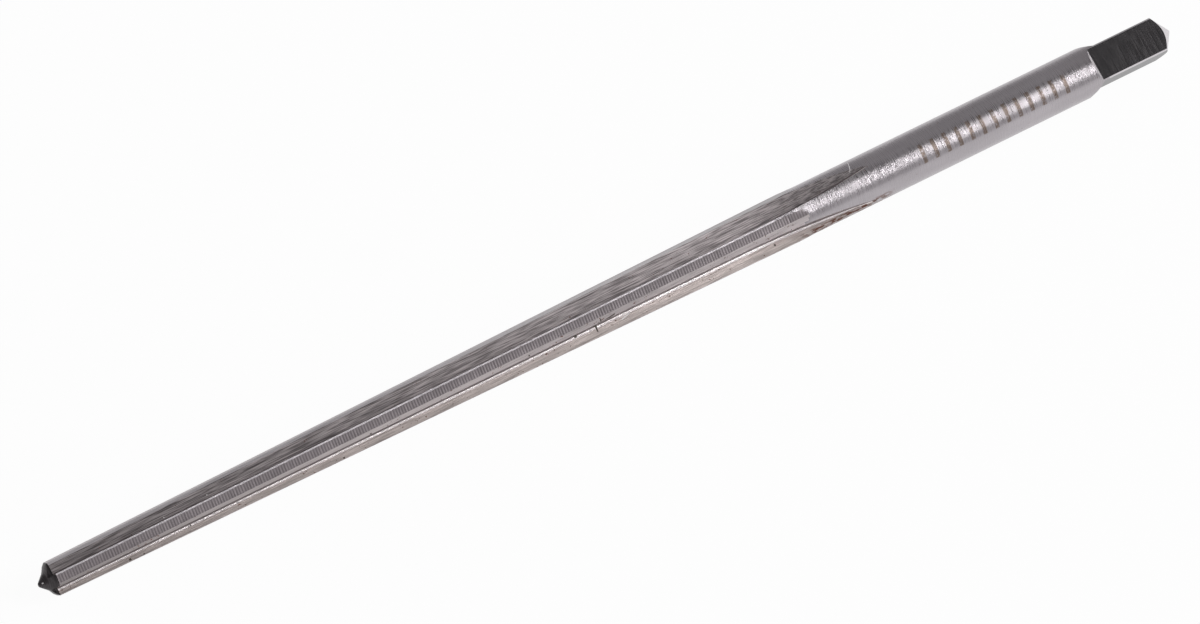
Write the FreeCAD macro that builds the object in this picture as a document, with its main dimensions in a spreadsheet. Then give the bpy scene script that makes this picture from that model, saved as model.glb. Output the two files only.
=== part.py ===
import FreeCAD, Part
import math
import os
import Sketcher

# Hand reamer for 1:50 taper-pin holes, nominal size 1.5 mm, straight flutes, right-hand cutting.
# One piece of high-speed steel lies along X with its point at -X and its driving square at +X.
# It lies as it rests on a table: on two edges at the point and on the front of the shank.

doc = FreeCAD.newDocument("HandReamer")
sheet = doc.addObject("Spreadsheet::Sheet", "Sizes")

# Sizes in millimetres and degrees. "front" is the plane of the point, "back" the end of the teeth.
SIZES = {
    # lengths along the tool: overall, teeth from the point, rise of the flutes before the
    # teeth end, and the small step from the teeth to the shank
    "overall_len": 57.0,
    "flute_len": 37.0,
    "rise_len": 2.4,
    "step_len": 0.15,
    # diameters, and the taper of one in fifty
    "small_dia": 1.5,
    "taper_ratio": 50.0,
    "shank_dia": 2.18,
    # male centre at the point and bevel lead of the teeth
    "point_angle": 96.0,
    "point_nose": 0.15,
    "lead_angle": 42.0,
    "lead_width": 0.12,
    # male centre at the far end
    "tail_angle": 100.0,
    "tail_nose": 0.08,
    # four teeth: margin, end of the relief and heel, each by its height over the axis and
    # by how far it lies behind the cutting edge
    "tooth_count": 4,
    "tooth_turn": 118.93,
    "margin_width": 0.07,
    "relief_front_high": 0.615,
    "relief_front_behind": 0.406,
    "relief_back_high": 0.996,
    "relief_back_behind": 0.404,
    "heel_front_high": 0.478,
    "heel_front_behind": 0.484,
    "heel_back_high": 0.897,
    "heel_back_behind": 0.632,
    # flutes: height of the root, angle between rake and back face, root radius, grinding wheel
    "root_front": 0.412,
    "root_back": 0.495,
    "flute_angle": 81.5,
    "root_radius": 0.095,
    "wheel_radius": 35.0,
    "wheel_tilt": 30.0,
    "wheel_sweep": 13.0,
    # driving square, ground flat by flat, each with its own length and run-out
    "square_flats": 1.6,
    "square_turn": 1.9,
    "near_len": 4.5,
    "near_run": 0.25,
    "top_len": 4.5,
    "top_run": 0.62,
    "far_len": 4.5,
    "far_run": 0.45,
    "low_len": 5.0,
    "low_run": 0.8,
    # how far past the teeth the shank first touches the table that the tool lies on
    "rest_past": 2.95,
}

# Values that follow from the sizes.
DERIVED = {
    "tip_x": "-overall_len / 2",
    "tail_x": "overall_len / 2",
    "land_end_x": "tip_x + flute_len",
    "straight_len": "flute_len - rise_len",
    "straight_end_x": "tip_x + straight_len",
    "front_rad": "small_dia / 2",
    "back_rad": "front_rad + flute_len / taper_ratio / 2",
    "shank_rad": "shank_dia / 2",
    "half_flats": "square_flats / 2",
    "clear_rad": "back_rad + 0.5",
    "point_half": "point_angle / 2",
    "tail_half": "tail_angle / 2",
    "lead_foot": "front_rad - lead_width",
    "lead_foot_x": "tip_x + point_nose - point_nose / sin(point_half) + lead_foot / tan(point_half)",
    "lead_top_x": "lead_foot_x + lead_width / tan(lead_angle)",
    "lead_top": "front_rad + (lead_top_x - tip_x) / taper_ratio / 2",
    "tail_cone_x": "tail_x - tail_nose + tail_nose / sin(tail_half) - shank_rad / tan(tail_half)",
    "back_lean": "90 - flute_angle",
    "root_reach": "root_radius / tan(flute_angle / 2)",
    "wheel_high": "root_back + wheel_radius * cos(wheel_tilt)",
    "wheel_ahead": "-wheel_radius * sin(wheel_tilt)",
    "square_std": "tooth_turn + square_turn - 90",
    "low_drop": "shank_rad + 0.01 - half_flats",
    "low_round": "(low_run * low_run + low_drop * low_drop) / (2 * low_drop)",
    "root_slope": "atan((root_back - root_front) / straight_len)",
    "rest_x": "land_end_x + rest_past",
    "point_drop": "lead_top * sin(tooth_turn)",
    "rest_tilt": "atan((shank_rad - point_drop) / (rest_x - lead_top_x))",
    "rest_high": "(shank_rad - rest_x * tan(rest_tilt)) * cos(rest_tilt)",
}


def fill_sheet():
    """Writes sizes and derived values into the sheet, each under its alias."""
    row = 1
    for alias, number in SIZES.items():
        sheet.set("A%d" % row, alias)
        sheet.set("B%d" % row, str(number))
        sheet.setAlias("B%d" % row, alias)
        row += 1
    doc.recompute()
    for alias, formula in DERIVED.items():
        sheet.set("A%d" % row, alias)
        sheet.set("B%d" % row, "=" + formula)
        sheet.setAlias("B%d" % row, alias)
        doc.recompute()
        row += 1


def bound(formula):
    """The formula with each alias as it is named outside the sheet."""
    words = []
    word = ""
    for letter in formula + " ":
        if letter.isalnum() or letter == "_":
            word += letter
            continue
        words.append("Sizes." + word if word in SIZES or word in DERIVED else word)
        words.append(letter)
        word = ""
    return "".join(words).strip()


def value(formula):
    """The present value of a formula."""
    number = sheet.evalExpression(bound(formula))
    return float(getattr(number, "Value", number))


fill_sheet()
body = doc.addObject("PartDesign::Body", "Reamer")
body.Label = "reamer"
origin = {feature.Role: feature for feature in body.Origin.OriginFeatures}
ALONG = FreeCAD.Vector(1, 0, 0)
ACROSS = FreeCAD.Vector(0, 1, 0)
NORMAL = FreeCAD.Vector(0, 0, 1)


def sketch(name, role, along, axis, turn):
    """A sketch on an origin plane, moved along the plane's normal and turned about one axis."""
    sk = body.newObject("Sketcher::SketchObject", name)
    sk.AttachmentSupport = [(origin[role], "")]
    sk.MapMode = "FlatFace"
    sk.AttachmentOffset = FreeCAD.Placement(FreeCAD.Vector(0, 0, 0), FreeCAD.Rotation(axis, 1))
    sk.setExpression("AttachmentOffset.Base.z", bound(along))
    sk.setExpression("AttachmentOffset.Rotation.Angle", bound(turn))
    return sk


def hold(sk, kind, geometry, end, formula):
    """Ties one end of a piece of geometry to the sketch's origin by a named distance."""
    constraint = Sketcher.Constraint(kind, -1, 1, geometry, end, value(formula))
    index = sk.addConstraint(constraint)
    name = "%s%d_%d" % (kind[-1].lower(), geometry, end)
    sk.renameConstraint(index, name)
    sk.setExpression("Constraints." + name, bound(formula))


def outline(sk, corners, arcs=None):
    """A closed outline through corners, each a pair of formulas, of which one may be left free.
    arcs gives the centre of each stretch that is an arc and not a line."""
    arcs = arcs or {}
    count = len(corners)
    spots = [FreeCAD.Vector(value(c[0]), value(c[1]), 0) for c in corners]
    ends = []
    for i in range(count):
        here = spots[i]
        there = spots[(i + 1) % count]
        if i not in arcs:
            sk.addGeometry(Part.LineSegment(here, there), False)
            ends.append((1, 2))
            continue
        centre = FreeCAD.Vector(value(arcs[i][0]), value(arcs[i][1]), 0)
        circle = Part.Circle(centre, NORMAL, (here - centre).Length)
        start = math.atan2(here.y - centre.y, here.x - centre.x)
        stop = math.atan2(there.y - centre.y, there.x - centre.x)
        clockwise = (start - stop) % (2 * math.pi) < math.pi
        if clockwise:
            start, stop = stop, start
        sk.addGeometry(Part.ArcOfCircle(circle, start, stop), False)
        ends.append((2, 1) if clockwise else (1, 2))
    for i in range(count):
        after = (i + 1) % count
        sk.addConstraint(Sketcher.Constraint("Coincident", i, ends[i][1], after, ends[after][0]))
    for i in range(count):
        free = corners[i][2] if len(corners[i]) > 2 else ""
        for kind, formula in (("DistanceX", corners[i][0]), ("DistanceY", corners[i][1])):
            if kind[-1] != free:
                hold(sk, kind, i, ends[i][0], formula)
    for i, centre in arcs.items():
        hold(sk, "DistanceX", i, 3, centre[0])
        hold(sk, "DistanceY", i, 3, centre[1])


# The turned blank: male centres, bevel lead, tapered land, small step and plain shank.
blank = sketch("BlankProfile", "XZ_Plane", "0", ALONG, "0")
outline(blank, [
    ("tip_x", "0"),
    ("tip_x + point_nose - point_nose * sin(point_half)", "point_nose * cos(point_half)", "X"),
    ("lead_foot_x", "lead_foot"),
    ("lead_top_x", "lead_top"),
    ("land_end_x", "back_rad"),
    ("land_end_x + step_len", "shank_rad"),
    ("tail_cone_x", "shank_rad"),
    ("tail_x - tail_nose + tail_nose * sin(tail_half)", "tail_nose * cos(tail_half)"),
    ("tail_x", "0", "X"),
], {
    0: ("tip_x + point_nose", "0"),
    7: ("tail_x - tail_nose", "0"),
})
turned = body.newObject("PartDesign::Revolution", "Blank")
turned.Profile = blank
turned.ReferenceAxis = (blank, ["H_Axis"])
turned.Angle = 360
doc.recompute()

# Reliefs behind each margin: a flat and a steeper heel strip, from the point to the land's end.
reliefs = []
for where, plane in (("front", "tip_x"), ("back", "land_end_x + step_len")):
    shape = sketch("Relief_" + where, "YZ_Plane", plane, NORMAL, "tooth_turn")
    high = "relief_%s_high" % where
    behind = "relief_%s_behind" % where
    heel_high = "heel_%s_high" % where
    heel_behind = "heel_%s_behind" % where
    rad = where + "_rad"
    outline(shape, [
        ("sqrt(%s * %s - margin_width * margin_width)" % (rad, rad), "margin_width"),
        (high, behind),
        (heel_high, heel_behind),
        ("2 * %s - %s" % (heel_high, high), "2 * %s - %s" % (heel_behind, behind)),
        ("clear_rad * cos(50)", "clear_rad * sin(50)"),
        ("clear_rad", "margin_width"),
    ])
    reliefs.append(shape)
relief = body.newObject("PartDesign::SubtractiveLoft", "Relief")
relief.Profile = reliefs[0]
relief.Sections = [reliefs[1]]
relief.Ruled = True
doc.recompute()

# One flute: a radial rake face, a leaning back face and a small root radius between them.
# Its straight length is less deep at the point, and it ends where the round grinding wheel lifts.
tooth_plane = body.newObject("PartDesign::Plane", "ToothPlane")
tooth_plane.AttachmentSupport = [(origin["YZ_Plane"], "")]
tooth_plane.MapMode = "FlatFace"
tooth_plane.AttachmentOffset = FreeCAD.Placement(FreeCAD.Vector(), FreeCAD.Rotation(NORMAL, 1))
tooth_plane.setExpression("AttachmentOffset.Base.z", bound("straight_end_x"))
tooth_plane.setExpression("AttachmentOffset.Rotation.Angle", bound("tooth_turn"))
groove = body.newObject("Sketcher::SketchObject", "FluteSection")
groove.AttachmentSupport = [(tooth_plane, "")]
groove.MapMode = "FlatFace"
groove.AttachmentOffset = FreeCAD.Placement(FreeCAD.Vector(), FreeCAD.Rotation(ACROSS, 1))
groove.setExpression("AttachmentOffset.Rotation.Angle", bound("root_slope"))
doc.recompute()
outline(groove, [
    ("root_back + root_reach", "0", "Y"),
    ("clear_rad", "0"),
    ("clear_rad", "-clear_rad"),
    ("root_back + clear_rad * tan(back_lean)", "-clear_rad"),
    ("root_back + root_reach * sin(back_lean)", "-root_reach * cos(back_lean)"),
], {
    4: ("root_back + root_reach", "-root_radius"),
})
axle_ends = (
    ("wheel_high - sin(wheel_tilt)", "wheel_ahead - cos(wheel_tilt)"),
    ("wheel_high + sin(wheel_tilt)", "wheel_ahead + cos(wheel_tilt)"),
)
spots = [FreeCAD.Vector(value(a), value(b), 0) for a, b in axle_ends]
axle = groove.addGeometry(Part.LineSegment(spots[0], spots[1]), True)
for end, spot in enumerate(axle_ends, 1):
    hold(groove, "DistanceX", axle, end, spot[0])
    hold(groove, "DistanceY", axle, end, spot[1])
doc.recompute()
flute = body.newObject("PartDesign::Pocket", "Flute")
flute.Profile = groove
flute.setExpression("Length", bound("straight_len + 0.5"))
doc.recompute()
runout = body.newObject("PartDesign::Groove", "Runout")
runout.Profile = groove
runout.ReferenceAxis = (groove, ["Axis0"])
runout.setExpression("Angle", bound("wheel_sweep"))
doc.recompute()

# The other teeth and flutes are equally spaced round the tool.
teeth = body.newObject("PartDesign::PolarPattern", "Teeth")
teeth.Originals = [relief, flute, runout]
teeth.Axis = (origin["X_Axis"], [""])
teeth.Angle = 360
teeth.setExpression("Occurrences", bound("tooth_count"))
body.Tip = teeth
doc.recompute()

# The driving square: four flats ground across the shank, each with the run-out of its own pass.
for quarter, name in enumerate(("near", "low", "far", "top")):
    shape = sketch("Flat_" + name, "XZ_Plane", "0", ALONG, "square_std + %d" % (90 * quarter))
    begin = "tail_x - %s_len" % name
    end = "tail_x - %s_len + %s_run" % (name, name)
    corners = [
        (begin, "shank_rad + 0.01"),
        (end, "half_flats"),
        ("tail_x + 0.5", "half_flats"),
        ("tail_x + 0.5", "shank_rad + 0.5"),
        (begin, "shank_rad + 0.5"),
    ]
    if name == "low":
        corners[1] = (end, "half_flats", "X")
        outline(shape, corners, {0: (begin, "shank_rad + 0.01 - low_round")})
    else:
        outline(shape, corners)
    cut = body.newObject("PartDesign::Pocket", "Square_" + name)
    cut.Profile = shape
    cut.Midplane = True
    cut.setExpression("Length", bound("shank_dia * 2"))
    doc.recompute()

# The tool lies on a table with its point lower than its shank.
body.Placement = FreeCAD.Placement(FreeCAD.Vector(0, 0, 0), FreeCAD.Rotation(FreeCAD.Vector(0, -1, 0), 1))
body.setExpression("Placement.Base.z", bound("rest_high"))
body.setExpression("Placement.Rotation.Angle", bound("rest_tilt"))
doc.recompute()

# Every feature is sound, the piece is one valid solid, and each cut took metal away.
for obj in doc.Objects:
    if "Invalid" in obj.State or "Error" in obj.State:
        raise RuntimeError("%s is %s" % (obj.Name, obj.State))
steps = [turned] + [f for f in body.Group if f.isDerivedFrom("PartDesign::Feature") and f is not turned]
for before, after in zip(steps, steps[1:]):
    if not after.Shape.Volume < before.Shape.Volume - 0.01:
        raise RuntimeError("%s cuts nothing" % after.Name)
if body.Shape.isNull() or not body.Shape.isValid() or len(body.Shape.Solids) != 1:
    raise RuntimeError("the reamer is not one valid solid")

os.makedirs("parts", exist_ok=True)
body.Shape.exportStep(os.path.join("parts", body.Label + ".step"))
print("reamer: %.3f mm3, %d faces" % (body.Shape.Volume, len(body.Shape.Faces)))
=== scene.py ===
import bpy
import math
import numpy as np
from mathutils import Matrix, Vector


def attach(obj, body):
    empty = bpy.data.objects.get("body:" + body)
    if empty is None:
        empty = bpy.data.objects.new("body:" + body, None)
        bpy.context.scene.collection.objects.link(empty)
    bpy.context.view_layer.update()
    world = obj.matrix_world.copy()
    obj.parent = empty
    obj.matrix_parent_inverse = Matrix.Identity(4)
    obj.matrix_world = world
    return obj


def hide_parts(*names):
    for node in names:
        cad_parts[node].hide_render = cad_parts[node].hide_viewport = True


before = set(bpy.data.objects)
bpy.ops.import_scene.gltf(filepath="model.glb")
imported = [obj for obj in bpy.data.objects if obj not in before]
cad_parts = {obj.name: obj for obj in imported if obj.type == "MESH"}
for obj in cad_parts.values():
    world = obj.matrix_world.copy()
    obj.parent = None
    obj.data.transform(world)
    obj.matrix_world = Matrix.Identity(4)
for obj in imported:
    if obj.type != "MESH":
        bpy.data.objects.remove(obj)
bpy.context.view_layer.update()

# The reamer is one bar of high-speed steel, turned and then ground all over: four straight
# flutes with radial rake faces, four tapered lands behind narrow margins, a plain shank and a
# small driving square. Sizes are in millimetres and degrees, and "along" counts from the point.
OVERALL = 57.0
TEETH_END = 37.0
STEP = 0.15
STEP_FADE = 0.9
SMALL_RAD = 0.75
TAPER = 50.0
SHANK_RAD = 1.09
POINT_HALF = math.radians(42)
POINT_NOSE = 0.15
FLARE_RAD = 0.40
LEAD_FOOT = 0.515
LEAD = 0.12
LEAD_HALF = math.radians(42)
TAIL_HALF = math.radians(50)
TAIL_NOSE = 0.08
TEETH = 4
TOOTH_TURN = math.radians(118.93)
REST_PAST = 2.95

nose_end = POINT_NOSE * (1 - math.sin(POINT_HALF))
nose_rad = POINT_NOSE * math.cos(POINT_HALF)
flare_from = nose_end + (FLARE_RAD - nose_rad) / math.tan(POINT_HALF)
lead_top = LEAD_FOOT + LEAD / math.tan(LEAD_HALF)
tail_nose_from = OVERALL - TAIL_NOSE * (1 - math.sin(TAIL_HALF))
tail_nose_rad = TAIL_NOSE * math.cos(TAIL_HALF)
tail_from = tail_nose_from - (SHANK_RAD - tail_nose_rad) / math.tan(TAIL_HALF)


def land_rad(along):
    """Radius of the cutting edges, which grows by one in fifty of the length."""
    return SMALL_RAD + along / TAPER / 2


def blank_rad(along):
    """Radius of the turned blank: point, flare, lead, tapered land, shank and far cone."""
    corners = np.array([
        (nose_end, nose_rad),
        (flare_from, FLARE_RAD),
        (LEAD_FOOT, SMALL_RAD - LEAD),
        (lead_top, land_rad(lead_top)),
        (TEETH_END, land_rad(TEETH_END)),
        (TEETH_END + STEP_FADE, SHANK_RAD),
        (tail_from, SHANK_RAD),
        (tail_nose_from, tail_nose_rad),
    ])
    rad = np.interp(along, corners[:, 0], corners[:, 1])
    front = np.sqrt(np.maximum(POINT_NOSE**2 - (POINT_NOSE - along) ** 2, 0))
    rear = np.sqrt(np.maximum(TAIL_NOSE**2 - (along - OVERALL + TAIL_NOSE) ** 2, 0))
    rad = np.where(along < nose_end, front, rad)
    return np.where(along > tail_nose_from, rear, rad)


# Lands: a margin of the full radius, a flat relief and a steeper heel, given at the point and
# at the end of the teeth by height over the axis and by how far they lie behind the edge.
MARGIN = 0.07
RELIEF_POINT = np.array([0.615, 0.406])
RELIEF_BACK = np.array([0.996, 0.404])
HEEL_POINT = np.array([0.478, 0.484])
HEEL_BACK = np.array([0.897, 0.632])
RELIEF_LIFT_FROM = 36.55
RELIEF_WHEEL = 24.0
CHATTER_PITCH = 0.13
CHATTER_DEEP = 0.007


def facet(from_spot, to_spot):
    """Distance of a flat from the axis, and the turn of its normal, for each place along."""
    run = to_spot - from_spot
    length = np.hypot(run[:, 0], run[:, 1])
    normal = np.stack([run[:, 1], -run[:, 0]], 1) / length[:, None]
    return (from_spot * normal).sum(1), np.arctan2(normal[:, 1], normal[:, 0])


def land_facets(along):
    """Relief and heel flats along the tool, lifting out where the wheel leaves the shank."""
    share = (along / (TEETH_END + STEP))[:, None]
    relief = RELIEF_POINT + (RELIEF_BACK - RELIEF_POINT) * share
    heel = HEEL_POINT + (HEEL_BACK - HEEL_POINT) * share
    rad = land_rad(np.minimum(along, TEETH_END + STEP))
    margin = np.stack([np.sqrt(rad**2 - MARGIN**2), np.full_like(rad, MARGIN)], 1)
    lift = np.maximum(along - RELIEF_LIFT_FROM, 0) ** 2 / 2 / RELIEF_WHEEL
    facets = [facet(margin, relief), facet(relief, heel)]
    return [(distance + lift, turn) for distance, turn in facets]


def outer_rad(turn, rad, facets):
    """Radius of the land or shank at an angle behind the cutting edge."""
    out = np.broadcast_to(rad, turn.shape).copy()
    for distance, normal in facets:
        slant = np.cos(turn - normal)
        out = np.where(slant > 0.05, np.minimum(out, distance / np.maximum(slant, 0.05)), out)
    return out


# Flutes: a radial rake face, a small root radius and a leaning back face, ground with the edge
# of a thin wheel whose round lifts the flute out of the shank.
ROOT_POINT = 0.412
ROOT_BACK = 0.495
ROOT_RADIUS = 0.095
FLUTE_ANGLE = math.radians(81.5)
RISE = 2.4
WHEEL_RADIUS = 35.0
WHEEL_TILT = math.radians(30)
rise_from = TEETH_END - RISE
root_slope = (ROOT_BACK - ROOT_POINT) / rise_from
back_lean = math.pi / 2 - FLUTE_ANGLE
root_reach = ROOT_RADIUS / math.tan(FLUTE_ANGLE / 2)
FINE = 0.004


def arc_steps(length):
    """How many fine steps a stretch of the profile is divided into."""
    return int(length / FINE)


back_long = 1.3
rake_long = 1.2
arc_long = ROOT_RADIUS * (math.pi / 2 + back_lean)
back_count = arc_steps(back_long)
arc_count = arc_steps(arc_long)


def flute_profile():
    """Points of the flute across the tool, from the outer end of the back face to the rake face."""
    foot = np.array([root_reach * math.sin(back_lean), -root_reach * math.cos(back_lean)])
    out = np.linspace(back_long, 0, back_count, endpoint=False)[:, None]
    back = foot + out * np.array([math.sin(back_lean), -math.cos(back_lean)])
    swing = np.linspace(math.pi + back_lean, math.pi / 2, arc_count, endpoint=False)
    arc = np.stack([root_reach + ROOT_RADIUS * np.cos(swing), ROOT_RADIUS * (np.sin(swing) - 1)], 1)
    rise = root_reach + np.linspace(0, rake_long, arc_steps(rake_long))
    return np.concatenate([back, arc, np.stack([rise, np.zeros_like(rise)], 1)])


def flute_sections(along):
    """The flute's profile at each place along the tool, as height and lag behind the next edge."""
    profile = flute_profile()
    toward = np.array([math.cos(WHEEL_TILT), -math.sin(WHEEL_TILT)])
    reach = WHEEL_RADIUS - profile @ toward
    past = np.clip(along - rise_from, 0, WHEEL_RADIUS / 2)[:, None]
    lift = reach - np.sqrt(reach**2 - past**2)
    section = profile + lift[:, :, None] * toward
    section[:, :, 0] += (ROOT_BACK + (along - rise_from) * root_slope)[:, None]
    return section


# The bar's skin is one grid: rows of stations along the tool, and columns that follow the
# edges of each land and flute. Three rows make one chatter mark of the relief wheel. The rows
# lie closest together where the flutes run out, between the teeth and the plain shank.
LAND_COLUMNS = 8
BACK_COLUMNS = 4
ROOT_COLUMNS = 7
RAKE_COLUMNS = 3
SECTOR = LAND_COLUMNS + BACK_COLUMNS + ROOT_COLUMNS + RAKE_COLUMNS
FLUTES_GONE = 41.6
PLAIN_TO = 51.9
quarter = 2 * math.pi / TEETH
chatter_rows = int(3 * (TEETH_END - lead_top) / CHATTER_PITCH)
stations = np.concatenate([
    POINT_NOSE * (1 - np.cos(np.linspace(0, math.pi / 2 - POINT_HALF, 5))),
    np.linspace(nose_end, flare_from, 9)[1:],
    np.linspace(flare_from, LEAD_FOOT, 5)[1:],
    np.linspace(LEAD_FOOT, lead_top, 5)[1:],
    lead_top + np.arange(1, chatter_rows) * CHATTER_PITCH / 3,
    [TEETH_END, TEETH_END + STEP / 3, TEETH_END + STEP],
    np.linspace(TEETH_END + STEP, FLUTES_GONE, 60)[1:],
    np.linspace(FLUTES_GONE, PLAIN_TO, 40)[1:],
    np.linspace(PLAIN_TO, tail_from, 30)[1:],
    np.linspace(tail_from, tail_nose_from, 10)[1:],
    OVERALL - TAIL_NOSE * (1 - np.cos(np.linspace(math.pi / 2 - TAIL_HALF, 0, 5)[1:])),
])


def ease(share):
    """A share that starts and ends gently."""
    share = np.clip(share, 0, 1)
    return share * share * (3 - 2 * share)


def pick(values, place):
    """Values at a place between two samples of each row."""
    low = np.clip(place.astype(int), 0, values.shape[1] - 2)
    part = place - low
    rows = np.arange(len(values))
    return values[rows, low] * (1 - part) + values[rows, low + 1] * part


def skin(along):
    """Angle behind the first edge and radius of every column of one sector, for each station."""
    facets = land_facets(along)
    wide = [(distance[:, None], normal[:, None]) for distance, normal in facets]
    rad = blank_rad(along)
    section = flute_sections(along)
    far = np.hypot(section[:, :, 0], section[:, :, 1])
    turn = quarter + np.arctan2(section[:, :, 1], section[:, :, 0])
    ahead = turn > quarter * 0.9
    edge = np.where(ahead, rad[:, None], outer_rad(turn, rad[:, None], wide))
    proud = far - edge
    count = np.arange(proud.shape[1])
    deepest = proud.argmin(1)
    open_rows = proud.min(1) < 0
    out = proud >= 0
    left = np.where(out & (count < deepest[:, None]), count, 0).max(1)
    right = np.where(out & (count > deepest[:, None]), count, len(count)).min(1)
    rows = np.arange(len(along))
    start = left + proud[rows, left] / (proud[rows, left] - proud[rows, left + 1])
    stop = right - proud[rows, right] / (proud[rows, right] - proud[rows, right - 1])
    start = np.where(open_rows, start, deepest)
    stop = np.where(open_rows, stop, deepest)
    span = stop - start
    arc_from = np.maximum(back_count, start + 0.3 * span)
    arc_to = np.minimum(back_count + arc_count, stop - 0.3 * span)
    arc_from = np.minimum(arc_from, arc_to - 0.1 * span)
    places = []
    for begin, end, columns in ((start, arc_from, BACK_COLUMNS), (arc_from, arc_to, ROOT_COLUMNS)):
        places += [begin + (end - begin) * j / columns for j in range(columns)]
    places += [arc_to + (stop - arc_to) * share for share in (0, 0.12, 0.55)]
    flute_turn = [pick(turn, place) for place in places]
    flute_rad = [pick(far, place) for place in places]
    first = pick(turn, stop) - quarter
    last = flute_turn[0]
    margin = np.arcsin(MARGIN / np.maximum(rad, SMALL_RAD))
    share = along / (TEETH_END + STEP)
    relief = RELIEF_POINT + (RELIEF_BACK - RELIEF_POINT) * share[:, None]
    heel = np.arctan2(relief[:, 1], relief[:, 0])
    wide_relief = heel - margin
    spots = [first, margin, margin + 0.07 * wide_relief, margin + 0.5 * wide_relief]
    spots += [margin + 0.93 * wide_relief, heel]
    spots += [heel + (last - heel) * 0.35, heel + (last - heel) * 0.7]
    spread = ease((along - TEETH_END - 0.4) / 2.5)
    land = [s + (first + (last - first) * j / LAND_COLUMNS - s) * spread for j, s in enumerate(spots)]
    ended = along[np.nonzero(open_rows)[0].max()]
    even = ease((along - ended) / 3)
    angles = np.stack(land + flute_turn, 1)
    flat_out = first[:, None] + quarter * np.arange(SECTOR) / SECTOR
    angles = angles + (flat_out - angles) * even[:, None]
    radii = outer_rad(angles, rad[:, None], wide)
    radii[open_rows, LAND_COLUMNS:] = np.stack(flute_rad, 1)[open_rows]
    return angles, radii


angles, radii = skin(stations)
beat = np.modf((stations - lead_top) / CHATTER_PITCH)[0]
groove = np.interp(beat, [0, 1 / 3, 1], [0, 1, 0])
cut = (stations > lead_top) & (stations < TEETH_END - 0.3)
RELIEF_INNER = slice(2, 5)
radii[:, RELIEF_INNER] -= (CHATTER_DEEP * groove * cut)[:, None]

# Each facet of the bar keeps the finish of the wheel that ground it. The heel of the tooth above the near
# one has a brighter tone than the other heels: a painted highlight.
FINISHES = [
    "round", "relief", "heel", "back", "rake", "flats", "point", "margin", "root", "light_end", "fillet", "lit_heel",
]
kind = {name: number for number, name in enumerate(FINISHES)}
UPPER_TOOTH = 3
SHANK_SKIN = 0.003
SHANK_FROM = 36
LIGHT_END_LONG = 3.9
middle = (stations[1:] + stations[:-1]) / 2
wide_at = blank_rad(middle)
zone_of = np.full((len(middle), SECTOR), kind["margin"])
zone_of[:, 1:5] = kind["relief"]
zone_of[:, 5:LAND_COLUMNS] = kind["heel"]
zone_of[:, LAND_COLUMNS:LAND_COLUMNS + BACK_COLUMNS] = kind["back"]
# Painted shade: the bottom of each flute takes a dark finish.
zone_of[:, LAND_COLUMNS + BACK_COLUMNS:] = kind["root"]
# Painted highlight: the columns where the root meets the rake face take a bright finish, as the bright line
# along each flute's root.
zone_of[:, SECTOR - RAKE_COLUMNS - 2:] = kind["fillet"]
zone_of[:, SECTOR - RAKE_COLUMNS + 1:] = kind["rake"]
closed = np.concatenate([radii, radii[:, :1]], 1)
mean_rad = (closed[1:, 1:] + closed[:-1, 1:] + closed[1:, :-1] + closed[:-1, :-1]) / 4
unground = mean_rad > wide_at[:, None] - SHANK_SKIN
zone_of[unground & (middle > SHANK_FROM)[:, None]] = kind["round"]
# Painted shade: the point and its lead take an almost black finish.
zone_of[middle < lead_top] = kind["point"]
# The corners of the square and the far cone take a lighter tone.
zone_of[middle > OVERALL - LIGHT_END_LONG] = kind["light_end"]

columns = TEETH * SECTOR + 1
bpy.ops.object.select_all(action="DESELECT")
bpy.ops.mesh.primitive_grid_add(x_subdivisions=len(stations) - 1, y_subdivisions=columns - 1, size=1)
reamer = bpy.context.object
reamer.name = "reamer_ground"
turned = np.concatenate([angles + k * quarter for k in range(TEETH)], 1)
turned = TOOTH_TURN + np.concatenate([turned, angles[:, :1] + TEETH * quarter], 1)
around = np.concatenate([radii] * TEETH + [radii[:, :1]], 1)
spots = np.stack([
    np.broadcast_to(stations[:, None] - OVERALL / 2, turned.shape),
    around * np.cos(turned),
    around * np.sin(turned),
], 2).transpose(1, 0, 2)
reamer.data.vertices.foreach_set("co", spots.reshape(-1).astype(np.float32))
for name in FINISHES:
    reamer.data.materials.append(bpy.data.materials.new("steel_" + name))
zones = np.concatenate([zone_of] * TEETH, 1)
# Painted highlight: the heel of the tooth above the near one takes a brighter finish.
upper = zones[:, UPPER_TOOTH * SECTOR:UPPER_TOOTH * SECTOR + LAND_COLUMNS]
upper[upper == kind["heel"]] = kind["lit_heel"]
zones = zones.T
reamer.data.polygons.foreach_set("material_index", zones.reshape(-1).astype(np.int32))
reamer.data.update()
bpy.ops.object.mode_set(mode="EDIT")
bpy.ops.mesh.select_all(action="SELECT")
bpy.ops.mesh.remove_doubles(threshold=2e-5)
bpy.ops.mesh.normals_make_consistent(inside=False)
bpy.ops.object.mode_set(mode="OBJECT")

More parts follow.
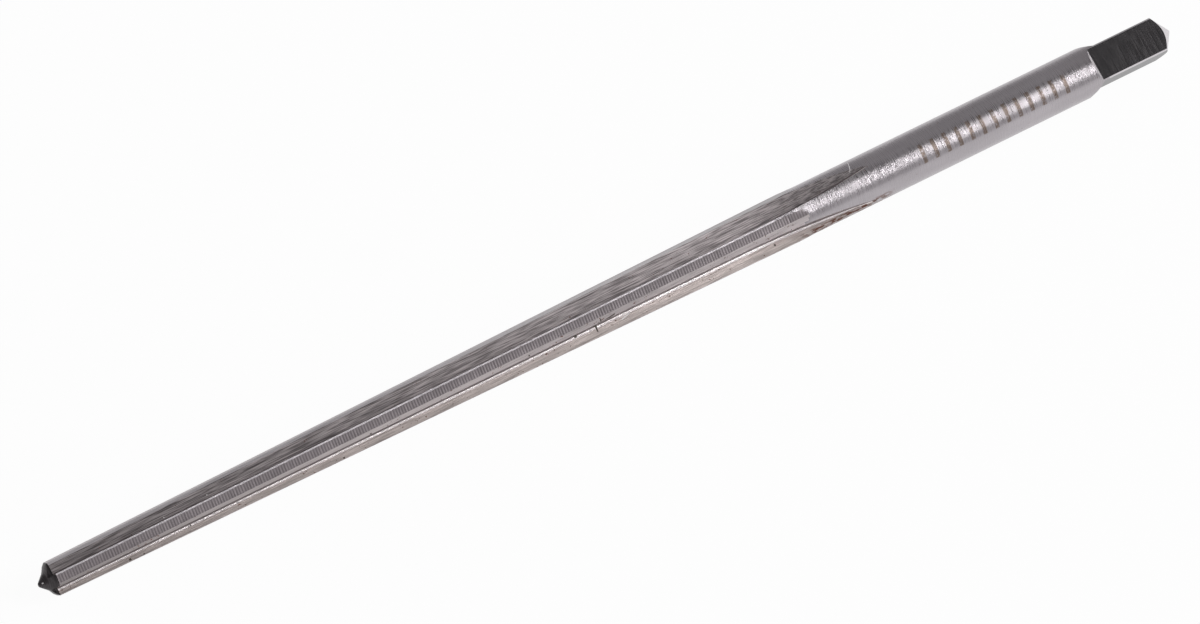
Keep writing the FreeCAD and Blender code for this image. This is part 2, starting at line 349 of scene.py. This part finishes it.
# Driving square: four flats ground across the end of the shank, each with the run-out of its
# own pass. The wheel took the low one with a long round shoulder.
HALF_FLATS = 0.8
SQUARE_TURN = math.radians(1.9)
SQUARE_LONG = {"near": 4.5, "low": 5.0, "far": 4.5, "top": 4.5}
SQUARE_RUN = {"near": 0.25, "low": 0.8, "far": 0.45, "top": 0.62}
SQUARE_OVER = 0.01
tall = SHANK_RAD + SQUARE_OVER
drop = tall - HALF_FLATS
for number, (name, length) in enumerate(SQUARE_LONG.items()):
    begin = OVERALL / 2 - length
    run = SQUARE_RUN[name]
    shoulder = [(begin, tall), (begin + run, HALF_FLATS)]
    if name == "low":
        bend = (run**2 + drop**2) / 2 / drop
        sweep = math.asin(run / bend)
        shoulder = [
            (begin + bend * math.sin(sweep * i / 8), tall - bend + bend * math.cos(sweep * i / 8))
            for i in range(9)
        ]
    outline = shoulder + [(OVERALL / 2 + 0.5, HALF_FLATS), (OVERALL / 2 + 0.5, tall)]
    bpy.ops.object.select_all(action="DESELECT")
    bpy.ops.mesh.primitive_circle_add(vertices=len(outline), fill_type="NGON")
    wheel = bpy.context.object
    for vertex, (along, height) in zip(wheel.data.vertices, outline):
        vertex.co = (along, -SHANK_RAD * 1.5, height)
    bpy.ops.object.mode_set(mode="EDIT")
    bpy.ops.mesh.select_all(action="SELECT")
    bpy.ops.mesh.extrude_region_move(TRANSFORM_OT_translate={"value": (0, SHANK_RAD * 3, 0)})
    bpy.ops.mesh.select_all(action="SELECT")
    bpy.ops.mesh.normals_make_consistent(inside=False)
    bpy.ops.object.mode_set(mode="OBJECT")
    normal = TOOTH_TURN + SQUARE_TURN + number * math.pi / 2
    wheel.data.transform(Matrix.Rotation(normal - math.pi / 2, 4, "X"))
    for material in reamer.data.materials:
        wheel.data.materials.append(material)
    for polygon in wheel.data.polygons:
        # Painted shade: the steep shoulder faces of the near flat take the almost black finish of the point.
        steep = name == "near" and 0.3 < abs(polygon.normal.x) < 0.95
        polygon.material_index = kind["point" if steep else "flats"]
    bpy.ops.object.select_all(action="DESELECT")
    reamer.select_set(True)
    bpy.context.view_layer.objects.active = reamer
    grind = reamer.modifiers.new("square_" + name, "BOOLEAN")
    grind.operation = "DIFFERENCE"
    grind.solver = "EXACT"
    grind.object = wheel
    bpy.ops.object.modifier_apply(modifier=grind.name)
    bpy.data.objects.remove(wheel)

# The reamer lies on its thin point and on the front of its thicker shank.
point_drop = land_rad(lead_top) * math.sin(TOOTH_TURN)
rest_at = TEETH_END + REST_PAST
rest_tilt = math.atan((SHANK_RAD - point_drop) / (rest_at - lead_top))
rest_high = (SHANK_RAD - (rest_at - OVERALL / 2) * math.tan(rest_tilt)) * math.cos(rest_tilt)
place = Matrix.Translation((0, 0, rest_high)) @ Matrix.Rotation(-rest_tilt, 4, "Y")
reamer.data.transform(Matrix.Scale(0.001, 4) @ place)
bpy.ops.object.select_all(action="DESELECT")
reamer.select_set(True)
bpy.context.view_layer.objects.active = reamer
bpy.ops.object.shade_smooth_by_angle(angle=math.radians(15))
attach(reamer, "root")
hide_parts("reamer")


# Finish: bright ground high-speed steel, with fine lines that each wheel left in its own direction. The
# turned point is painted almost black as painted shade, and the years have left nicks, scratches and specks
# of rust.
class Wire:
    """An output socket of a material's nodes, which takes sums and products as numbers do."""

    def __init__(self, tree, socket=None):
        self.tree = tree
        self.socket = socket

    def node(self, kind, settings, inputs, output=0):
        """Adds a node, with its settings first and then the values or links of its sockets."""
        made = self.tree.nodes.new(kind)
        for name, setting in settings.items():
            setattr(made, name, setting)
        for name, given in inputs.items():
            if isinstance(given, Wire):
                self.tree.links.new(given.socket, made.inputs[name])
            else:
                made.inputs[name].default_value = given
        return Wire(self.tree, made.outputs[output])

    def math(self, operation, first, second=0.0):
        """A sum of another kind, such as a sine, of one or two values."""
        return self.node("ShaderNodeMath", {"operation": operation}, {0: first, 1: second})

    def along(self, direction):
        """How far a place lies in a direction."""
        settings = {"operation": "DOT_PRODUCT"}
        return self.node("ShaderNodeVectorMath", settings, {0: self, 1: direction}, "Value")

    def larger(self, other):
        """The larger of two values."""
        return self.math("MAXIMUM", self, other)

    def __add__(self, other):
        return self.math("ADD", self, other)

    __radd__ = __add__

    def __mul__(self, other):
        return self.math("MULTIPLY", self, other)

    __rmul__ = __mul__

    def __sub__(self, other):
        return self.math("SUBTRACT", self, other)

    def __rsub__(self, other):
        return self.math("SUBTRACT", other, self)

    def ramp(self, low, high, to_low=0.0, to_high=1.0):
        """The value moved from one range to another, with eased ends and nothing beyond them."""
        settings = {"interpolation_type": "SMOOTHSTEP"}
        return self.node("ShaderNodeMapRange", settings, {0: self, 1: low, 2: high, 3: to_low, 4: to_high})

    def blend(self, first, second):
        """The first colour where the value is 0 and the second where it is 1."""
        return self.node("ShaderNodeMix", {"data_type": "RGBA"}, {0: self, 6: first, 7: second}, 2)


def noise(tool, stretch, detail=3.0, shift=0.0):
    """A noise whose grain is stretched by waves per millimetre along and across the tool."""
    spot = tool.node("ShaderNodeVectorMath", {"operation": "MULTIPLY"}, {0: tool, 1: stretch})
    spot = tool.node("ShaderNodeVectorMath", {"operation": "ADD"}, {0: spot, 1: (shift, shift, shift)})
    return tool.node("ShaderNodeTexNoise", {}, {"Vector": spot, "Scale": 1.0, "Detail": detail})


turn_back = Matrix.Rotation(rest_tilt, 3, "Y")
shift_back = turn_back @ Vector((0, 0, -rest_high)) + Vector((OVERALL / 2, 0, 0))
ROUND_LINES = (90.0, 2.5, 2.5)
LONG_LINES = (0.9, 34.0, 34.0)
# Tone, its factors at the point and at the square, roughness, depth of the lines that run round and of those
# that run along in micrometres, and the share of streaks in the tone. The two factors are painted light and
# shade that brighten or darken each face along the tool.
LOOKS = {
    "round": ((0.455, 0.425, 0.445), (1.0, 1.0), 0.29, 3.9, 0.0, 0.03),
    # Brighter than the shank: painted highlight along each margin.
    "margin": ((0.70, 0.66, 0.69), (1.05, 0.93), 0.38, 3.4, 0.0, 0.05),
    "relief": ((0.43, 0.385, 0.40), (0.92, 0.83), 0.32, 0.8, 0.0, 0.06),
    "heel": ((0.46, 0.42, 0.42), (0.60, 1.75), 0.30, 0.5, 0.8, 0.08),
    # Painted highlight on the heel of the tooth above the near one, fading toward the square.
    "lit_heel": ((0.80, 0.76, 0.78), (0.98, 0.48), 0.34, 1.0, 1.0, 0.10),
    "back": ((0.41, 0.37, 0.375), (0.78, 1.05), 0.33, 0.7, 1.3, 0.45),
    # Dark: painted shade in the bottom of the flutes.
    "root": ((0.23, 0.20, 0.20), (0.75, 1.05), 0.38, 0.4, 1.0, 0.15),
    # Near white: painted highlight along the line where the root meets the rake face.
    "fillet": ((0.95, 0.89, 0.89), (0.86, 1.05), 0.34, 4.5, 0.0, 0.04),
    "rake": ((0.67, 0.595, 0.57), (0.93, 1.22), 0.36, 1.1, 1.2, 0.14),
    "flats": ((0.31, 0.295, 0.305), (1.0, 1.0), 0.15, 0.05, 0.0, 0.03),
    # Lighter tone on the corners of the square and the far cone.
    "light_end": ((0.66, 0.63, 0.65), (1.0, 1.0), 0.34, 1.0, 1.0, 0.10),
    # Almost black: painted shade on the point and on the shoulder of the near flat.
    "point": ((0.065, 0.060, 0.062), (1.0, 1.0), 0.32, 0.35, 0.0, 0.25),
}
EDGE_TINT = {"flats": 0.55}
SCRATCH_AND_GLINT = (0.85, 0.83, 0.83, 1)
NICK = (0.07, 0.055, 0.045, 1)
RUST = (0.13, 0.055, 0.035, 1)
# The share of specks on each finish falls as this bound of the noise rises.
SPECKED = {"heel": 0.64, "rake": 0.65, "back": 0.69, "round": 0.70, "margin": 0.70, "fillet": 0.70}
ETCHED = (0.17, 0.12, 0.09, 1)
STROKES_MIDDLE = 47.3
STROKES_HALF = 4.0
STROKE_FROM = 43.2
STROKE_PITCH = 0.62
STROKE_TURN = math.radians(132)
FRONT_TURN = math.radians(128.5)
FRONT = Vector((0, math.cos(FRONT_TURN), math.sin(FRONT_TURN)))
UPPER = Vector((0, math.sin(FRONT_TURN), -math.cos(FRONT_TURN)))
ALONG = Vector((1, 0, 0))
# Marks on the side that lies to the front: middle along, height over the axis, length, slope in degrees and
# half their width. Pale ones are fresh scratches and specks, except the pale mark on the point, which is a
# painted glint; dark ones are old nicks.
SCRATCHES_AND_GLINT = {
    "rake": [(28.4, -0.69, 0.60, 14, 0.030)],
    "back": [(40.3, 0.79, 0.55, 56, 0.016), (6.0, 0.245, 0.05, 0, 0.025), (8.1, 0.30, 0.05, 0, 0.025)],
    "round": [(40.3, 0.79, 0.55, 56, 0.016)],
    # Painted highlight: the glint on the nose of the point.
    "point": [(0.15, 0.01, 0.07, 0, 0.035)],
}
GOUGE = [
    (26.95, -0.55, 0.50, 85, 0.045),
    (27.4, -0.43, 0.60, 8, 0.035),
    (26.9, -0.50, 0.24, -35, 0.035),
]
DARK_MARKS = {
    "heel": GOUGE + [(15.6, -0.42, 0.10, 0, 0.05), (23.4, -0.40, 0.08, 0, 0.04)],
    "root": GOUGE + [
        (25.93, -0.53, 0.16, 10, 0.08),
        (30.6, -0.50, 0.20, 90, 0.035),
        (33.9, -0.46, 0.16, 10, 0.04),
    ],
    "fillet": GOUGE + [
        (7.0, -0.50, 0.20, 90, 0.035),
        (20.1, -0.48, 0.12, 90, 0.045),
        (25.93, -0.53, 0.16, 10, 0.08),
        (34.0, -0.49, 0.18, 10, 0.05),
    ],
    "rake": GOUGE + [
        (4.0, -0.69, 0.12, 0, 0.07),
        (4.65, -0.73, 0.07, 0, 0.045),
        (14.3, -0.82, 0.09, 0, 0.05),
        (35.9, -0.78, 0.09, 0, 0.06),
    ],
}


def front_side(tool):
    """A mask that is 1 on the side that lies to the front."""
    return tool.along(FRONT).ramp(0.0, 0.05)


def marked(tool, marks):
    """A mask that is 1 on short straight marks, seen square to the front of the tool."""
    found = None
    for at, up, length, slope, width in marks:
        slope = math.radians(slope)
        onward = ALONG * math.cos(slope) + UPPER * math.sin(slope)
        aside = UPPER * math.cos(slope) - ALONG * math.sin(slope)
        centre = ALONG * at + UPPER * up
        beside = tool.math("ABSOLUTE", tool.along(aside) - aside.dot(centre))
        beyond = tool.math("ABSOLUTE", tool.along(onward) - onward.dot(centre))
        line = beside.ramp(width * 0.5, width, 1.0, 0.0) * beyond.ramp(length * 0.4, length * 0.5, 1.0, 0.0)
        found = line if found is None else found.larger(line)
    return found * front_side(tool)


def rusted(tool, few):
    """A mask of rust: loose specks, and a crust in the low end of the lower flute."""
    speck = noise(tool, (8.0, 11.0, 11.0), 2.0, 20.0).ramp(few, few + 0.03)
    speck = speck * noise(tool, (0.9, 1.2, 1.2), 1.0, 40.0).ramp(0.5, 0.58)
    crust = (0 - tool.along(UPPER)).ramp(0.82, 0.92) * tool.along(ALONG).ramp(36.5, 38.0)
    crust = crust * tool.along(ALONG).ramp(41.2, 42.0, 1.0, 0.0) * front_side(tool)
    return speck.larger(crust * noise(tool, (3.0, 12.0, 12.0), 2.0, 5.0).ramp(0.42, 0.55))


def etched(tool):
    """A mask of the row of plain strokes that is etched across the shank."""
    turn = tool.math("ARCTAN2", tool.along(Vector((0, 0, 1))), tool.along(Vector((0, 1, 0))))
    stroke = tool.math("FRACT", (tool.along(ALONG) - STROKE_FROM) * (1 / STROKE_PITCH))
    stroke = tool.math("ABSOLUTE", stroke - 0.5).ramp(0.13, 0.19, 1.0, 0.0)
    stroke = stroke * tool.math("ABSOLUTE", turn - STROKE_TURN).ramp(0.38, 0.42, 1.0, 0.0)
    beyond = tool.math("ABSOLUTE", tool.along(ALONG) - STROKES_MIDDLE)
    stroke = stroke * beyond.ramp(STROKES_HALF, STROKES_HALF + 0.05, 1.0, 0.0)
    return stroke * noise(tool, (9.0, 9.0, 9.0), 2.0, 11.0).ramp(0.3, 0.5, 0.25, 0.85)


for slot in reamer.material_slots:
    finish = slot.material.name.removeprefix("steel_")
    tone, run, dull, round_deep, long_deep, share = LOOKS[finish]
    steel = slot.material
    steel.use_nodes = True
    tree = steel.node_tree
    start = Wire(tree)
    local = start.node("ShaderNodeTexCoord", {}, {}, "Object")
    tool = start.node("ShaderNodeMapping", {}, {
        "Vector": local, "Location": shift_back, "Rotation": (0, rest_tilt, 0), "Scale": (1000,) * 3,
    })
    place_along = tool.along(ALONG)
    round_line = noise(tool, ROUND_LINES, 2.0)
    long_line = noise(tool, LONG_LINES)
    broad = noise(tool, (0.35, 1.5, 1.5), 2.0, 7.0)
    streak = long_line if long_deep else noise(tool, (30.0, 1.0, 1.0), 2.0, 3.0)
    shade = streak.ramp(0.36, 0.64, 1 - share, 1 + share)
    shade = shade * broad.ramp(0.3, 0.7, 0.95, 1.05)
    # Painted light and shade along the tool: the tone goes from its factor at the point to its factor at the
    # square.
    shade = shade * place_along.node("ShaderNodeMapRange", {}, {
        0: place_along, 1: 0.0, 2: TEETH_END, 3: run[0], 4: run[1],
    })
    # Painted light and shade: each rake face is lighter near the root and darker toward the cutting edge.
    if finish == "rake":
        across = start.node("ShaderNodeVectorMath", {"operation": "MULTIPLY"}, {0: tool, 1: (0, 1, 1)})
        out = start.node("ShaderNodeVectorMath", {"operation": "LENGTH"}, {0: across}, "Value")
        shade = shade * out.ramp(0.5, 1.1, 1.12, 0.80)
    # Painted light and shade of the chatter marks: the relief's tone rises and falls once per chatter pitch.
    if finish == "relief":
        beat = (place_along - lead_top) * (2 * math.pi / CHATTER_PITCH)
        shade = shade * start.math("SINE", beat).ramp(-1.0, 1.0, 0.78, 1.16)
    colour = start.node("ShaderNodeVectorMath", {"operation": "SCALE"}, {0: tone, "Scale": shade})
    covers = []
    if finish in SCRATCHES_AND_GLINT:
        covers.append((marked(tool, SCRATCHES_AND_GLINT[finish]), SCRATCH_AND_GLINT, 1.0))
    if finish in DARK_MARKS:
        covers.append((marked(tool, DARK_MARKS[finish]), NICK, 1.0))
    if finish in SPECKED:
        covers.append((rusted(tool, SPECKED[finish]), RUST, 1.0))
    if finish == "round":
        covers.append((etched(tool), ETCHED, 0.4))
    metal = 1.0
    for mask, tint, dulled in covers:
        colour = mask.blend(colour, tint)
        metal = metal * (1 - dulled * mask)
    rough = streak.ramp(0.2, 0.8, dull - 0.04, dull + 0.04)
    height = round_line * (round_deep * 1e-6) + long_line * (long_deep * 1e-6)
    bumpy = start.node("ShaderNodeBump", {}, {"Height": height, "Distance": 1.0, "Strength": 1.0})
    sockets = tree.nodes["Principled BSDF"].inputs
    sockets["Metallic"].default_value = 1.0
    sockets["Specular Tint"].default_value = (EDGE_TINT.get(finish, 1.0),) * 3 + (1,)
    if covers:
        tree.links.new(metal.socket, sockets["Metallic"])
    tree.links.new(colour.socket, sockets["Base Color"])
    tree.links.new(rough.socket, sockets["Roughness"])
    tree.links.new(bumpy.socket, sockets["Normal"])

# Floor: a sheet of white card under the tool.
bpy.ops.mesh.primitive_plane_add(size=1.2)
floor = bpy.context.object
floor.name = "floor"
card = bpy.data.materials.new("card")
card.use_nodes = True
shader = card.node_tree.nodes["Principled BSDF"]
shader.inputs["Base Color"].default_value = (0.85, 0.85, 0.85, 1)
shader.inputs["Roughness"].default_value = 0.9
start = Wire(card.node_tree)
seen = 0.96 * start.node("ShaderNodeLightPath", {}, {}, "Is Camera Ray")
seen = seen.larger(0.8 * start.node("ShaderNodeLightPath", {}, {}, "Is Glossy Ray"))
seen = seen.larger(0.8 * start.node("ShaderNodeLightPath", {}, {}, "Is Transmission Ray"))
glow = start.node("ShaderNodeEmission", {}, {"Color": (1, 1, 1, 1), "Strength": 1.0})
paper = Wire(card.node_tree, shader.outputs[0])
look = start.node("ShaderNodeMixShader", {}, {0: seen, 1: paper, 2: glow})
card.node_tree.links.new(look.socket, card.node_tree.nodes["Material Output"].inputs["Surface"])
floor.data.materials.append(card)

# Light: a long softbox in front of the tool, in a grey room that is white to the camera. Part of
# the room is dark, and the upper side of the shank mirrors that.
world = bpy.data.worlds.new("room")
bpy.context.scene.world = world
world.use_nodes = True
start = Wire(world.node_tree)
toward = start.node("ShaderNodeTexCoord", {}, {}, "Generated")
high = start.node("ShaderNodeSeparateXYZ", {}, {"Vector": toward}, "Z")
gap = toward.along((0.37, -0.40, 0.84))
grey = high.ramp(0.0, 0.5, 0.48, 0.34)
grey = grey * gap.ramp(0.82, 0.97, 1.0, 0.2)
seen = start.node("ShaderNodeLightPath", {}, {}, "Is Camera Ray")
room = world.node_tree.nodes["Background"]
room.inputs["Color"].default_value = (1, 0.985, 1, 1)
world.node_tree.links.new(seen.larger(grey).socket, room.inputs["Strength"])
LAMP_AWAY = 0.5
LAMP_TOWARD = (-0.622, 0.783)
bpy.ops.object.light_add(type="AREA", location=(0.87, *(part * LAMP_AWAY for part in LAMP_TOWARD)))
lamp = bpy.context.object
lamp.data.shape = "RECTANGLE"
lamp.data.size = 0.9
lamp.data.size_y = 0.38
lamp.data.energy = 13.4
lamp.rotation_euler = (math.atan2(-LAMP_TOWARD[0], LAMP_TOWARD[1]), 0, 0)
lamp.visible_camera = False

# Camera: a long lens in front of the tool and above it, turned so that the tool rises from its
# point at the lower left to its square at the upper right.
AZIMUTH = math.radians(-33.645)
ELEVATION = math.radians(46.339)
AIM_RIGHT = -0.838
AIM_UP = -0.484
AWAY = 0.37
level = math.cos(ELEVATION)
back = Vector((math.sin(AZIMUTH) * level, -math.cos(AZIMUTH) * level, math.sin(ELEVATION)))
right = Vector((math.cos(AZIMUTH), math.sin(AZIMUTH), 0))
upward = back.cross(right)
aim = (Vector((0, 0, rest_high)) + right * AIM_RIGHT + upward * AIM_UP) * 0.001
camera = bpy.data.objects.new("camera", bpy.data.cameras.new("camera"))
bpy.context.scene.collection.objects.link(camera)
camera.location = aim + back * AWAY
camera.rotation_euler = back.to_track_quat("Z", "Y").to_euler()
camera.data.sensor_width = 36
camera.data.lens = 264.6
camera.data.clip_start = 0.01
camera.data.clip_end = 10
bpy.context.scene.camera = camera
bpy.context.scene.view_settings.view_transform = "Standard"
